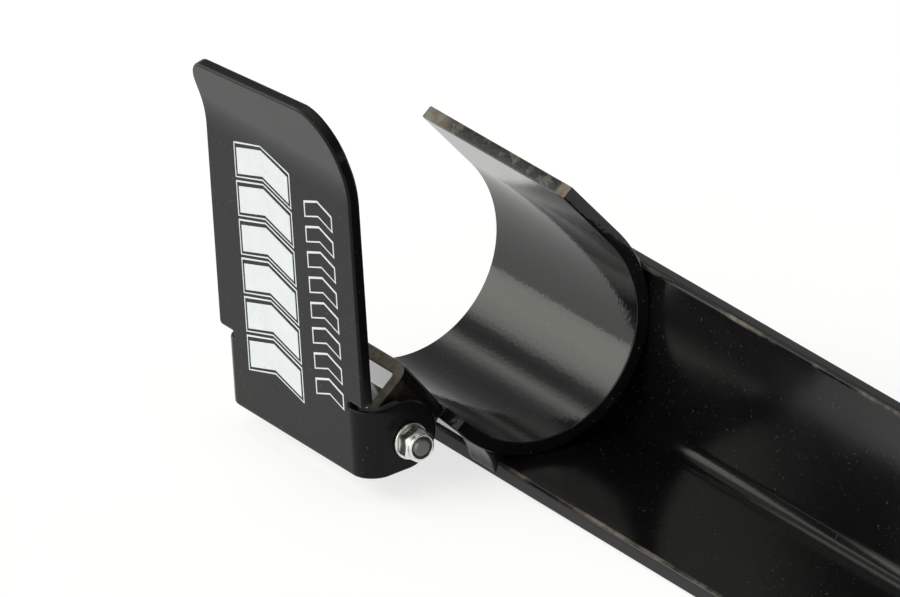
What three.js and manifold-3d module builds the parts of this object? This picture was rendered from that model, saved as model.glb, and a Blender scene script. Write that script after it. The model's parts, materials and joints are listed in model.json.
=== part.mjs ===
// Rod holder (sand spike): a length of equal steel angle, pointed at one end, carries a U-shaped rod
// cradle at the other.  A bent flap, hinged on two tabs of the cradle's lower arm, closes the U's mouth.
//
// Frame, millimetres: the spike lies on its lower leg.  +Z is up, +Y runs along the spike from the
// cradle to the point, +X runs across the lower leg from the heel of the angle towards the hinge.
// Origin: middle of the lower leg's outer face, below the middle of the cradle.  The sections and outlines
// below are drawn from the heel of the angle at the cradle end, and the whole is moved at the end.

import * as THREE from 'three';
import { mergeVertices } from 'three/addons/utils/BufferGeometryUtils.js';
import Module from 'manifold-3d';

const wasm = await Module();
wasm.setup();

// ---------------------------------------------------------------- driving dimensions (mm)

// room left between separate pieces that touch or are welded
const CLEARANCE = 0.3;

// angle
const LEG = 60;
const LEG_THICKNESS = 5;
const ROOT_FILLET = 6;
const TOE_RADIUS = 1.5;
const SPIKE_LENGTH = 900;
const POINT_LENGTH = 130;
const POINT_WIDTH = 7;

// cradle
const CRADLE_RADIUS = 36;
const CRADLE_THICKNESS = 4.5;
const CRADLE_LENGTH = 85;
const CRADLE_CENTRE = LEG_THICKNESS + CLEARANCE + CRADLE_RADIUS + CRADLE_THICKNESS;
const CRADLE_TILT = THREE.MathUtils.degToRad(44.2);
const UPPER_ARM = 26;
const LOWER_ARM = 24.2;
const TOE_IN = THREE.MathUtils.degToRad(2.5);

// tabs bent out of the lower arm
const TAB_SPAN = 71;
const TAB_BEND = 1.5;
const TAB_LOW = 4.6;
const TAB_END_RADIUS = 12;
const NOTCH = 1.4;
const CORNER_CUT = 7;

// pivot, measured in the cradle's own frame (outwards, along the arms)
const PIVOT_OUT = 52.65;
const PIVOT_UP = 13.74;
const BOLT_RADIUS = 3;
const BORE_RADIUS = 3.08;

// flap, measured from the pivot (front face towards +X, up towards +Z, width along Y)
const FLAP_LEAN = THREE.MathUtils.degToRad(5.1);
const FLAP_THICKNESS = 4;
const FLAP_BACK = 12.6;
const FLAP_WIDTH = 87.6;
const EAR_SPAN = 86;
const EAR_BEND = 4;
const EAR_END_RADIUS = 11.7;
const FLAP_BOTTOM = -10.4;
const EAR_TOP = 12.4;
const PANEL_LOW = 15;
const PANEL_TOP = 111;
const TOP_SLANT = THREE.MathUtils.degToRad(3.8);
const LIP_START = 83;
const LIP_RADIUS = 40;
const LIP_ANGLE = THREE.MathUtils.degToRad(17);
const NEAR_CORNER = 15.5;
const FAR_CORNER = 9;

// fasteners
const WASHER_THICKNESS = 1.2;
const WASHER_RADIUS = 6;
const NUT_FLATS = 10;
const NUT_HEX_HEIGHT = 4.4;
const NUT_HEIGHT = 6;
const HEAD_HEIGHT = 4;
const THREAD_PROUD = 0.5;
const GAP = 0.2;
const SLEEVE_RADIUS = 5;
const FRICTION_RADIUS = 7;
const FRICTION_THICKNESS = 3;

// butt stop
const STOP_POSITION = 430;
const STOP_THICKNESS = 5;
const STOP_SIDE = 46;

const MIDDLE = CRADLE_LENGTH / 2;
const FAR_OUTSIDE = 200;

// ---------------------------------------------------------------- materials

const steelPaint = (color, roughness) => new THREE.MeshStandardMaterial({ color, roughness, metalness: 0.1 });
const zinc = (color, roughness) => new THREE.MeshStandardMaterial({ color, roughness, metalness: 0.9 });

// ---------------------------------------------------------------- solids

const AXIS = {
  x: new THREE.Vector3(1, 0, 0),
  y: new THREE.Vector3(0, 1, 0),
  z: new THREE.Vector3(0, 0, 1),
};

function toSolid(geometry) {
  const bare = geometry.index ? geometry.toNonIndexed() : geometry.clone();
  bare.deleteAttribute('normal');
  bare.deleteAttribute('uv');
  const merged = mergeVertices(bare, 1e-4);
  return new wasm.Manifold(new wasm.Mesh({
    numProp: 3,
    vertProperties: new Float32Array(merged.attributes.position.array),
    triVerts: new Uint32Array(merged.index.array),
  }));
}

function toGeometry(solid) {
  const mesh = solid.getMesh();
  const geometry = new THREE.BufferGeometry();
  geometry.setAttribute('position', new THREE.BufferAttribute(new Float32Array(mesh.vertProperties), 3));
  geometry.setIndex(new THREE.BufferAttribute(new Uint32Array(mesh.triVerts), 1));
  geometry.computeVertexNormals();
  return geometry;
}

function extruded(shape, depth, curveSegments) {
  return new THREE.ExtrudeGeometry(shape, { depth, bevelEnabled: false, curveSegments });
}

// a shape drawn in (x, z), extruded from y = from to y = to
function prismAlongY(shape, from, to, segments = 24) {
  const geometry = extruded(shape, to - from, segments);
  geometry.applyMatrix4(new THREE.Matrix4().makeBasis(AXIS.x, AXIS.z, AXIS.y.clone().negate()));
  geometry.translate(0, to, 0);
  return geometry;
}

// a shape drawn in (y, z), extruded from x = from to x = to
function prismAlongX(shape, from, to, segments = 24) {
  const geometry = extruded(shape, to - from, segments);
  geometry.applyMatrix4(new THREE.Matrix4().makeBasis(AXIS.y, AXIS.z, AXIS.x));
  geometry.translate(from, 0, 0);
  return geometry;
}

// a shape drawn in (x, y), extruded from z = from to z = to
function prismAlongZ(shape, from, to, segments = 24) {
  const geometry = extruded(shape, to - from, segments);
  geometry.translate(0, 0, from);
  return geometry;
}

function polygon(points) {
  return new THREE.Shape(points.map(([a, b]) => new THREE.Vector2(a, b)));
}

function circleShape(a, b, radius) {
  const shape = new THREE.Shape();
  shape.absarc(a, b, radius, 0, Math.PI * 2, false);
  return shape;
}

function box(x0, x1, y0, y1, z0, z1) {
  const geometry = new THREE.BoxGeometry(x1 - x0, y1 - y0, z1 - z0);
  geometry.translate((x0 + x1) / 2, (y0 + y1) / 2, (z0 + z1) / 2);
  return geometry;
}

// a turned body about an axis parallel to Y; profile points are [radius, y]
function turned(profile, segments = 32) {
  return new THREE.LatheGeometry(profile.map(([r, y]) => new THREE.Vector2(r, y)), segments);
}

function ring(inner, outer, from, to, chamfer = 0.15, segments = 32) {
  return turned([
    [inner, from],
    [outer - chamfer, from],
    [outer, from + chamfer],
    [outer, to - chamfer],
    [outer - chamfer, to],
    [inner, to],
    [inner, from],
  ], segments);
}

// a convex outline round a circle and some corner points, drawn as the union of circle and wedges
function hullPoints(points) {
  const sorted = [...points].sort((p, q) => p[0] - q[0] || p[1] - q[1]);
  const turn = (o, a, b) => (a[0] - o[0]) * (b[1] - o[1]) - (a[1] - o[1]) * (b[0] - o[0]);
  const half = (list) => {
    const chain = [];
    for (const point of list) {
      while (chain.length > 1 && turn(chain.at(-2), chain.at(-1), point) <= 0) chain.pop();
      chain.push(point);
    }
    chain.pop();
    return chain;
  };
  return [...half(sorted), ...half(sorted.reverse())];
}

function roundPoints(a, b, radius, count = 48) {
  return Array.from({ length: count }, (_, i) => {
    const angle = (i / count) * Math.PI * 2;
    return [a + radius * Math.cos(angle), b + radius * Math.sin(angle)];
  });
}

// ---------------------------------------------------------------- frames

const cradleFrame = new THREE.Matrix4()
  .makeRotationY(CRADLE_TILT)
  .setPosition(CRADLE_CENTRE, 0, CRADLE_CENTRE);
const armTurn = new THREE.Matrix4().makeRotationY(-TOE_IN);
const pivotPoint = new THREE.Vector3(PIVOT_OUT, 0, PIVOT_UP).applyMatrix4(cradleFrame);
const pivotInArm = new THREE.Vector3(PIVOT_OUT, 0, PIVOT_UP).applyMatrix4(armTurn.clone().invert());
const flapFrame = new THREE.Matrix4().makeRotationY(FLAP_LEAN).setPosition(pivotPoint);

// ---------------------------------------------------------------- angle spike

function angleSection() {
  const shape = new THREE.Shape();
  shape.moveTo(0, 0);
  shape.lineTo(LEG, 0);
  shape.lineTo(LEG, LEG_THICKNESS - TOE_RADIUS);
  shape.absarc(LEG - TOE_RADIUS, LEG_THICKNESS - TOE_RADIUS, TOE_RADIUS, 0, Math.PI / 2, false);
  shape.lineTo(LEG_THICKNESS + ROOT_FILLET, LEG_THICKNESS);
  shape.absarc(
    LEG_THICKNESS + ROOT_FILLET, LEG_THICKNESS + ROOT_FILLET, ROOT_FILLET, -Math.PI / 2, -Math.PI, true,
  );
  shape.lineTo(LEG_THICKNESS, LEG - TOE_RADIUS);
  shape.absarc(LEG_THICKNESS - TOE_RADIUS, LEG - TOE_RADIUS, TOE_RADIUS, 0, Math.PI / 2, false);
  shape.lineTo(0, LEG);
  shape.closePath();
  return shape;
}

function angleSpike() {
  const start = SPIKE_LENGTH - POINT_LENGTH;
  const overrun = 20;
  const slope = (LEG - POINT_WIDTH) / POINT_LENGTH;
  const wedge = [
    [start, LEG],
    [SPIKE_LENGTH + overrun, POINT_WIDTH - slope * overrun],
    [SPIKE_LENGTH + overrun, LEG + overrun],
    [start, LEG + overrun],
  ];
  const upperCut = toSolid(prismAlongX(polygon(wedge), -1, LEG_THICKNESS + ROOT_FILLET + 1));
  const lowerCut = toSolid(prismAlongZ(
    polygon(wedge.map(([y, x]) => [x, y]).reverse()), -1, LEG_THICKNESS + ROOT_FILLET + 1,
  ));
  return toSolid(prismAlongY(angleSection(), 0, SPIKE_LENGTH, 8)).subtract(upperCut).subtract(lowerCut);
}

// ---------------------------------------------------------------- cradle

const armInner = CRADLE_RADIUS;
const armOuter = CRADLE_RADIUS + CRADLE_THICKNESS;
const tabBendOuter = TAB_BEND + CRADLE_THICKNESS;
const tabReach = pivotInArm.x + TAB_END_RADIUS + 1;

// the bowl and both arms, the lower arm only up to the notch
function bowlSection() {
  const shape = new THREE.Shape();
  const lowerFull = TAB_LOW - NOTCH;
  const along = new THREE.Vector2(-Math.sin(TOE_IN), Math.cos(TOE_IN));
  const outwards = new THREE.Vector2(Math.cos(TOE_IN), Math.sin(TOE_IN));
  const onArm = (radius, length) => outwards.clone().multiplyScalar(radius).addScaledVector(along, length);
  shape.moveTo(-armInner, UPPER_ARM);
  shape.lineTo(-armOuter, UPPER_ARM);
  shape.lineTo(-armOuter, 0);
  shape.absarc(0, 0, armOuter, Math.PI, TOE_IN, false);
  shape.lineTo(onArm(armOuter, lowerFull).x, onArm(armOuter, lowerFull).y);
  shape.lineTo(onArm(armInner, lowerFull).x, onArm(armInner, lowerFull).y);
  shape.lineTo(onArm(armInner, 0).x, onArm(armInner, 0).y);
  shape.absarc(0, 0, armInner, TOE_IN, Math.PI, true);
  shape.closePath();
  return shape;
}

// plan of the lower arm with both tabs bent outwards, drawn in (x, y)
function tabPlan() {
  const near = MIDDLE + TAB_SPAN / 2;
  const far = MIDDLE - TAB_SPAN / 2;
  const centre = armInner + tabBendOuter;
  const shape = new THREE.Shape();
  shape.moveTo(armInner, far + tabBendOuter);
  shape.absarc(centre, far + tabBendOuter, tabBendOuter, Math.PI, Math.PI * 1.5, false);
  shape.lineTo(tabReach, far);
  shape.lineTo(tabReach, far + CRADLE_THICKNESS);
  shape.lineTo(centre, far + CRADLE_THICKNESS);
  shape.absarc(centre, far + tabBendOuter, TAB_BEND, Math.PI * 1.5, Math.PI, true);
  shape.lineTo(armOuter, near - tabBendOuter);
  shape.absarc(centre, near - tabBendOuter, TAB_BEND, Math.PI, Math.PI / 2, true);
  shape.lineTo(tabReach, near - CRADLE_THICKNESS);
  shape.lineTo(tabReach, near);
  shape.lineTo(centre, near);
  shape.absarc(centre, near - tabBendOuter, tabBendOuter, Math.PI / 2, Math.PI, false);
  shape.closePath();
  return shape;
}

function tabOutline() {
  return polygon(hullPoints([
    ...roundPoints(pivotInArm.x, pivotInArm.z, TAB_END_RADIUS),
    [armInner - 1, TAB_LOW],
    [armInner - 1, LOWER_ARM],
    [armInner + tabBendOuter, TAB_LOW],
    [armInner + tabBendOuter, LOWER_ARM],
  ]));
}

// wedges that take the corners off the lower arm, from the notch down to the arm's side
function cornerCuts() {
  const low = TAB_LOW - NOTCH;
  const wedge = (side) => toSolid(prismAlongX(polygon([
    [MIDDLE + side * (MIDDLE + 1), -1],
    [MIDDLE + side * (MIDDLE + 1), low + 1],
    [MIDDLE + side * (MIDDLE - CORNER_CUT), low + 1],
    [MIDDLE + side * (MIDDLE - CORNER_CUT), low - 0.1],
  ]), armInner - 2, armOuter + 2));
  const geometry = toGeometry(wedge(1).add(wedge(-1)));
  geometry.applyMatrix4(armTurn);
  return toSolid(geometry);
}

function rodCradle() {
  const bowl = toSolid(prismAlongY(bowlSection(), 0, CRADLE_LENGTH, 40)).subtract(cornerCuts());
  const tabs = toSolid(prismAlongZ(tabPlan(), TAB_LOW - NOTCH - 0.5, LOWER_ARM, 10));
  const outline = toSolid(prismAlongY(tabOutline(), -5, CRADLE_LENGTH + 5));
  const notchEdge = MIDDLE - TAB_SPAN / 2 + tabBendOuter;
  const bridge = toSolid(box(
    armInner, armOuter, notchEdge, CRADLE_LENGTH - notchEdge, TAB_LOW - NOTCH - 0.5, TAB_LOW + 0.5,
  ));
  const boreShape = circleShape(pivotInArm.x, pivotInArm.z, BORE_RADIUS);
  const bore = toSolid(prismAlongY(boreShape, -5, CRADLE_LENGTH + 5, 16));
  const arm = tabs.intersect(outline).add(bridge).subtract(bore);
  const armGeometry = toGeometry(arm);
  armGeometry.applyMatrix4(armTurn);
  return bowl.add(toSolid(armGeometry));
}

// ---------------------------------------------------------------- flap

const flapFront = FLAP_BACK + FLAP_THICKNESS;
const earBendOuter = EAR_BEND + FLAP_THICKNESS;

// side section of panel and lip, drawn in (x, z)
function panelSection() {
  const centre = flapFront + LIP_RADIUS;
  const back = LIP_RADIUS + FLAP_THICKNESS;
  const reach = 30;
  const tip = (radius) => [
    centre - radius * Math.cos(LIP_ANGLE) + reach * Math.sin(LIP_ANGLE),
    LIP_START + radius * Math.sin(LIP_ANGLE) + reach * Math.cos(LIP_ANGLE),
  ];
  const shape = new THREE.Shape();
  shape.moveTo(FLAP_BACK, PANEL_LOW - 6);
  shape.lineTo(flapFront, PANEL_LOW - 6);
  shape.lineTo(flapFront, LIP_START);
  shape.absarc(centre, LIP_START, LIP_RADIUS, Math.PI, Math.PI - LIP_ANGLE, true);
  shape.lineTo(...tip(LIP_RADIUS));
  shape.lineTo(...tip(back));
  shape.absarc(centre, LIP_START, back, Math.PI - LIP_ANGLE, Math.PI, false);
  shape.closePath();
  return shape;
}

// front outline of the panel above the ears, drawn in (y, z)
function panelOutline() {
  const far = MIDDLE - FLAP_WIDTH / 2;
  const near = MIDDLE + FLAP_WIDTH / 2;
  const rise = (y) => PANEL_TOP + (y - MIDDLE) * Math.tan(TOP_SLANT);
  const neck = EAR_SPAN / 2 - earBendOuter;
  const shape = new THREE.Shape();
  shape.moveTo(MIDDLE - neck, PANEL_LOW - 6);
  shape.lineTo(MIDDLE + neck, PANEL_LOW - 6);
  shape.lineTo(MIDDLE + neck, PANEL_LOW - 1);
  shape.quadraticCurveTo(MIDDLE + neck, PANEL_LOW, MIDDLE + neck + 1, PANEL_LOW);
  shape.lineTo(near - 1.5, PANEL_LOW);
  shape.quadraticCurveTo(near, PANEL_LOW, near, PANEL_LOW + 1.5);
  shape.lineTo(near, rise(near) - NEAR_CORNER);
  shape.absarc(near - NEAR_CORNER, rise(near) - NEAR_CORNER, NEAR_CORNER, 0, Math.PI / 2 + TOP_SLANT, false);
  shape.lineTo(far + FAR_CORNER, rise(far + FAR_CORNER));
  shape.absarc(far + FAR_CORNER, rise(far) - FAR_CORNER, FAR_CORNER, Math.PI / 2 + TOP_SLANT, Math.PI, false);
  shape.lineTo(far, PANEL_LOW + 1.5);
  shape.quadraticCurveTo(far, PANEL_LOW, far + 1.5, PANEL_LOW);
  shape.lineTo(MIDDLE - neck - 1, PANEL_LOW);
  shape.quadraticCurveTo(MIDDLE - neck, PANEL_LOW, MIDDLE - neck, PANEL_LOW - 1);
  shape.closePath();
  return shape;
}

// plan of the foot of the flap with both ears folded back, drawn in (x, y)
function earPlan() {
  const near = MIDDLE + EAR_SPAN / 2;
  const far = MIDDLE - EAR_SPAN / 2;
  const centre = flapFront - earBendOuter;
  const reach = -EAR_END_RADIUS - 4;
  const shape = new THREE.Shape();
  shape.moveTo(reach, far);
  shape.lineTo(centre, far);
  shape.absarc(centre, far + earBendOuter, earBendOuter, -Math.PI / 2, 0, false);
  shape.lineTo(flapFront, near - earBendOuter);
  shape.absarc(centre, near - earBendOuter, earBendOuter, 0, Math.PI / 2, false);
  shape.lineTo(reach, near);
  shape.lineTo(reach, near - FLAP_THICKNESS);
  shape.lineTo(centre, near - FLAP_THICKNESS);
  shape.absarc(centre, near - earBendOuter, EAR_BEND, Math.PI / 2, 0, true);
  shape.lineTo(FLAP_BACK, far + earBendOuter);
  shape.absarc(centre, far + earBendOuter, EAR_BEND, 0, -Math.PI / 2, true);
  shape.lineTo(reach, far + FLAP_THICKNESS);
  shape.closePath();
  return shape;
}

// side outline of an ear, drawn in (x, z): a round end about the bolt, a low hump, a dip by the bend
function earOutline() {
  const end = new THREE.Vector2(1.7, 1.9);
  const blend = THREE.MathUtils.degToRad(130);
  const shape = new THREE.Shape();
  shape.moveTo(flapFront + 1, FLAP_BOTTOM);
  shape.lineTo(flapFront + 1, EAR_TOP + 0.5);
  shape.lineTo(flapFront - 4, EAR_TOP);
  shape.quadraticCurveTo(end.x + 6, EAR_TOP, end.x + 2, EAR_TOP + 0.6);
  const shoulder = new THREE.Vector2(Math.cos(blend), Math.sin(blend))
    .multiplyScalar(EAR_END_RADIUS)
    .add(end);
  shape.quadraticCurveTo(end.x - 3, EAR_TOP + 1.3, shoulder.x, shoulder.y);
  shape.absarc(end.x, end.y, EAR_END_RADIUS, blend, Math.PI * 1.5, false);
  shape.lineTo(flapFront - earBendOuter, FLAP_BOTTOM);
  shape.closePath();
  return shape;
}

function flapPlate() {
  const panel = toSolid(prismAlongY(panelSection(), MIDDLE - 60, MIDDLE + 60, 10));
  const outline = toSolid(prismAlongX(panelOutline(), 0, 60, 14));
  const ears = toSolid(prismAlongZ(earPlan(), FLAP_BOTTOM, EAR_TOP + 6, 10));
  const earShape = toSolid(prismAlongY(earOutline(), MIDDLE - 60, MIDDLE + 60, 14));
  const bore = toSolid(prismAlongY(circleShape(0, 0, BORE_RADIUS), MIDDLE - 60, MIDDLE + 60, 16));
  return panel.intersect(outline).add(ears.intersect(earShape)).subtract(bore);
}

// ---------------------------------------------------------------- fasteners (about the pivot axis)

const earNear = MIDDLE + EAR_SPAN / 2;
const earFar = MIDDLE - EAR_SPAN / 2;
const tabNear = MIDDLE + TAB_SPAN / 2;
const tabFar = MIDDLE - TAB_SPAN / 2;
const nutBase = earNear + 2 * GAP + WASHER_THICKNESS;
const headBase = earFar - 2 * GAP - WASHER_THICKNESS;

function hexAlongY(flats, from, to) {
  const shape = polygon(roundPoints(0, 0, flats / Math.sqrt(3), 6));
  return toSolid(prismAlongY(shape, from, to));
}

// both ends of a hexagon are turned to a 30 degree chamfer
function chamferBody(radius, from, to, drop) {
  return toSolid(turned([
    [0, from],
    [radius - 0.3, from],
    [radius + 0.8, from + 0.45],
    [radius + 0.8, to - drop],
    [radius - 0.3, to],
    [0, to],
  ]));
}

function pivotBolt() {
  const end = nutBase + NUT_HEIGHT + THREAD_PROUD;
  const shank = toSolid(turned([
    [0, headBase - 1],
    [BOLT_RADIUS, headBase - 1],
    [BOLT_RADIUS, end - 0.7],
    [BOLT_RADIUS - 0.6, end],
    [0, end],
  ]));
  const head = hexAlongY(NUT_FLATS, headBase - HEAD_HEIGHT, headBase)
    .intersect(chamferBody(NUT_FLATS / 2 + 0.25, headBase - HEAD_HEIGHT, headBase, 0.45));
  return shank.add(head);
}

function nutBody() {
  const collar = NUT_FLATS / 2 - 0.25;
  const lipTop = nutBase + NUT_HEIGHT;
  const hex = hexAlongY(NUT_FLATS, nutBase, nutBase + NUT_HEX_HEIGHT)
    .intersect(chamferBody(NUT_FLATS / 2 + 0.25, nutBase, nutBase + NUT_HEX_HEIGHT, 0.5));
  const crown = toSolid(turned([
    [0, nutBase + NUT_HEX_HEIGHT - 0.6],
    [collar, nutBase + NUT_HEX_HEIGHT - 0.6],
    [collar, lipTop - 0.8],
    [collar - 0.8, lipTop],
    [0, lipTop],
  ]));
  const bore = toSolid(turned([
    [0, nutBase - 1],
    [BORE_RADIUS, nutBase - 1],
    [BORE_RADIUS, lipTop + 1],
    [0, lipTop + 1],
  ]));
  const pocket = toSolid(turned([
    [0, nutBase + NUT_HEX_HEIGHT - 0.2],
    [4.2, nutBase + NUT_HEX_HEIGHT - 0.2],
    [4.2, lipTop - 0.3],
    [3.9, lipTop + 1],
    [0, lipTop + 1],
  ]));
  return hex.add(crown).subtract(bore).subtract(pocket);
}

// ---------------------------------------------------------------- welds

// a row of overlapping drops, trimmed back from the pieces it joins
function weldBead({ from, to, radius, trims, step = 4.5 }) {
  const start = new THREE.Vector3(...from);
  const run = new THREE.Vector3(...to).sub(start);
  const count = Math.max(2, Math.round(run.length() / step));
  let bead = null;
  for (let i = 0; i <= count; i += 1) {
    const wobble = 1 + 0.07 * Math.sin(i * 2.3) + 0.05 * Math.cos(i * 5.1);
    const drop = new THREE.SphereGeometry(radius * wobble, 10, 6);
    const centre = start.clone().addScaledVector(run, i / count);
    drop.rotateX(Math.PI / 2);
    drop.translate(centre.x, centre.y, centre.z);
    bead = bead ? bead.add(toSolid(drop)) : toSolid(drop);
  }
  const left = trims.reduce((rest, trim) => rest.subtract(trim), bead);
  const parts = left.decompose();
  return parts.reduce((best, part) => (part.volume() > best.volume() ? part : best));
}

function angleKeepOut() {
  const across = LEG + CLEARANCE;
  const thick = LEG_THICKNESS + CLEARANCE;
  const lower = toSolid(box(-1, across, -FAR_OUTSIDE, SPIKE_LENGTH, -1, thick));
  const upper = toSolid(box(-1, thick, -FAR_OUTSIDE, SPIKE_LENGTH, -1, across));
  return lower.add(upper);
}

function cradleKeepOut() {
  const reach = armOuter + CLEARANCE;
  const outer = toSolid(prismAlongY(circleShape(0, 0, reach), -FAR_OUTSIDE, FAR_OUTSIDE, 40));
  const arms = toSolid(box(-reach, reach, -FAR_OUTSIDE, FAR_OUTSIDE, 0, 60));
  const geometry = toGeometry(outer.add(arms));
  geometry.applyMatrix4(cradleFrame);
  return toSolid(geometry);
}

function stopKeepOut() {
  const low = STOP_POSITION - CLEARANCE;
  const high = STOP_POSITION + STOP_THICKNESS + CLEARANCE;
  return toSolid(box(0, LEG, low, high, 0, LEG));
}

// a fillet between the lower leg's edge and the cradle, ground flush with the edge
function groundFillet({ from, to, trims }) {
  const solid = toSolid(prismAlongY(polygon([
    [LEG - 4, LEG_THICKNESS],
    [LEG + 0.2, LEG_THICKNESS],
    [LEG + 0.2, 1],
    [LEG + 1.2, 1.6],
    [LEG + 1.9, 4.5],
    [LEG + 5.2, 10],
    [LEG - 4, 10],
  ]), from, to));
  const parts = trims.reduce((rest, trim) => rest.subtract(trim), solid).decompose();
  return parts.reduce((best, part) => (part.volume() > best.volume() ? part : best));
}

// ---------------------------------------------------------------- butt stop

function buttStop() {
  const low = LEG_THICKNESS + CLEARANCE;
  const relief = LEG_THICKNESS + ROOT_FILLET + 0.5;
  return toSolid(prismAlongY(polygon([
    [relief, low],
    [STOP_SIDE, low],
    [STOP_SIDE, low + 8],
    [low + 8, STOP_SIDE],
    [low, STOP_SIDE],
    [low, relief],
  ]), STOP_POSITION, STOP_POSITION + STOP_THICKNESS));
}

// ---------------------------------------------------------------- assembly

function named(name, solid, material) {
  const mesh = new THREE.Mesh(toGeometry(solid), material);
  mesh.name = name;
  return mesh;
}

function framed(matrix, ...meshes) {
  const group = new THREE.Group();
  matrix.decompose(group.position, group.quaternion, group.scale);
  group.add(...meshes);
  return group;
}

const black = 0x101012;
const rodHolder = new THREE.Group();
rodHolder.name = 'rod_holder';

rodHolder.add(named('angle_spike', angleSpike(), steelPaint(black, 0.28)));
rodHolder.add(framed(cradleFrame, named('rod_cradle', rodCradle(), steelPaint(0x131314, 0.2))));
rodHolder.add(framed(flapFrame, named('flap_plate', flapPlate(), steelPaint(0x151516, 0.35))));

const pivotLine = new THREE.Matrix4().setPosition(pivotPoint);
const washerBody = (from, radius, thickness) => (
  toSolid(ring(BORE_RADIUS + 0.1, radius, from, from + thickness))
);
const washerAt = (from) => washerBody(from, WASHER_RADIUS, WASHER_THICKNESS);
const frictionWasher = (middle) => (
  washerBody(middle - FRICTION_THICKNESS / 2, FRICTION_RADIUS, FRICTION_THICKNESS)
);
const tabGap = (EAR_SPAN - TAB_SPAN) / 2 - FLAP_THICKNESS;
const nutInsert = ring(BORE_RADIUS, 4.1, nutBase + NUT_HEX_HEIGHT - 0.1, nutBase + NUT_HEIGHT - 0.5);
const sleeve = ring(
  BORE_RADIUS + CLEARANCE,
  SLEEVE_RADIUS,
  tabFar + CRADLE_THICKNESS + CLEARANCE,
  tabNear - CRADLE_THICKNESS - CLEARANCE,
);
const nylon = (color) => new THREE.MeshStandardMaterial({ color, roughness: 0.6, metalness: 0 });

rodHolder.add(framed(
  pivotLine,
  named('pivot_bolt', pivotBolt(), zinc(0xc9c8c2, 0.3)),
  named('nut_body', nutBody(), zinc(0xd4d2ca, 0.25)),
  named('nut_nylon_ring', toSolid(nutInsert), nylon(0x4a4a44)),
  named('nut_washer', washerAt(earNear + GAP), zinc(0xbab9b3, 0.35)),
  named('head_washer', washerAt(earFar - GAP - WASHER_THICKNESS), zinc(0xbab9b3, 0.35)),
  named('friction_washer_near', frictionWasher(tabNear + tabGap / 2), nylon(0x1c1c1c)),
  named('friction_washer_far', frictionWasher(tabFar - tabGap / 2), nylon(0x1c1c1c)),
  named('spacer_sleeve', toSolid(sleeve), zinc(0xc4c3bd, 0.3)),
));

rodHolder.add(named('butt_stop', buttStop(), steelPaint(black, 0.3)));

const angleTrim = angleKeepOut();
const cradleTrim = cradleKeepOut();
const trims = [angleTrim, cradleTrim];
const weldPaint = steelPaint(0x17171a, 0.4);
const cradleWelds = [
  { place: 'near', lower: [64, 84], upper: [61, 78] },
  { place: 'middle', lower: [28, 43], upper: [27, 43] },
  { place: 'far', lower: [2, 17], upper: [4, 18] },
];
for (const { place, lower, upper } of cradleWelds) {
  const fillet = groundFillet({ from: lower[0], to: lower[1], trims });
  const bead = weldBead({ from: [6.6, upper[0], 59.6], to: [6.6, upper[1], 59.6], radius: 2.8, trims });
  rodHolder.add(named(`weld_lower_${place}`, fillet, weldPaint));
  rodHolder.add(named(`weld_upper_${place}`, bead, weldPaint));
}

const stopTrim = stopKeepOut();
const stopLow = LEG_THICKNESS + 0.6;
const stopSide = STOP_POSITION + STOP_THICKNESS + 0.6;
const stopTrims = [angleTrim, stopTrim];
const stopBeads = {
  weld_stop_lower: { from: [16, stopSide, stopLow], to: [43, stopSide, stopLow] },
  weld_stop_upper: { from: [stopLow, stopSide, 16], to: [stopLow, stopSide, 43] },
};
for (const [name, run] of Object.entries(stopBeads)) {
  rodHolder.add(named(name, weldBead({ ...run, radius: 3, trims: stopTrims }), weldPaint));
}

rodHolder.position.set(-LEG / 2, -MIDDLE, 0);

export default rodHolder;
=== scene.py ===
"""Rod holder on a pale floor: detailed sheet-metal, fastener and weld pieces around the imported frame.

Lengths are millimetres from the angle's heel at the cradle end until a piece is made.  There ORIGIN
moves it to the frame's origin and MM turns it into metres.
"""

import json
import math

import bmesh
import bpy
from mathutils import Matrix, Vector, noise


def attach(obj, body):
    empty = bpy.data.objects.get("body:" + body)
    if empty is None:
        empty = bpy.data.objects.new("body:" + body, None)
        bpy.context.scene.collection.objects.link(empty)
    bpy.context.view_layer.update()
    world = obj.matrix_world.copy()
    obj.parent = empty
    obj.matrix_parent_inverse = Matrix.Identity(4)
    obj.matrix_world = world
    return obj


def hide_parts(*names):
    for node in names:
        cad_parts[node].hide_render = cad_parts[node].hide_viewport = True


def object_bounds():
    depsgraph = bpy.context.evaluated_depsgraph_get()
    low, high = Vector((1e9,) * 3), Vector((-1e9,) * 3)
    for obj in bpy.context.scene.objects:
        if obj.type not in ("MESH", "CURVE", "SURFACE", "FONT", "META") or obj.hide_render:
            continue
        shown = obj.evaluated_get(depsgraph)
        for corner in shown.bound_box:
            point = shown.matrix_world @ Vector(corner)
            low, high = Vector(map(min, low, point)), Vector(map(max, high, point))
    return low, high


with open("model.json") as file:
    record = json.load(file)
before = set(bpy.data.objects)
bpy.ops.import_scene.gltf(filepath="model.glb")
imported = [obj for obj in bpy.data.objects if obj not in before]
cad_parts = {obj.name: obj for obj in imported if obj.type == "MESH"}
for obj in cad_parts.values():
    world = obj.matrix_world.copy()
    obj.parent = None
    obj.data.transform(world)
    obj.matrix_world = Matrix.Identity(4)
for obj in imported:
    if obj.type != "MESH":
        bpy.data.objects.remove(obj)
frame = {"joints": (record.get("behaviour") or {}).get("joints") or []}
cad_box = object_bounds()

# ------------------------------------------------------------------ driving dimensions (mm)

MM = 0.001

# room left between separate pieces that touch or are welded
CLEARANCE = 0.3

LEG = 60.0
LEG_THICKNESS = 5.0
ROOT_FILLET = 6.0
TOE_RADIUS = 1.5
SPIKE_LENGTH = 900.0
POINT_LENGTH = 130.0
POINT_WIDTH = 7.0

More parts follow.
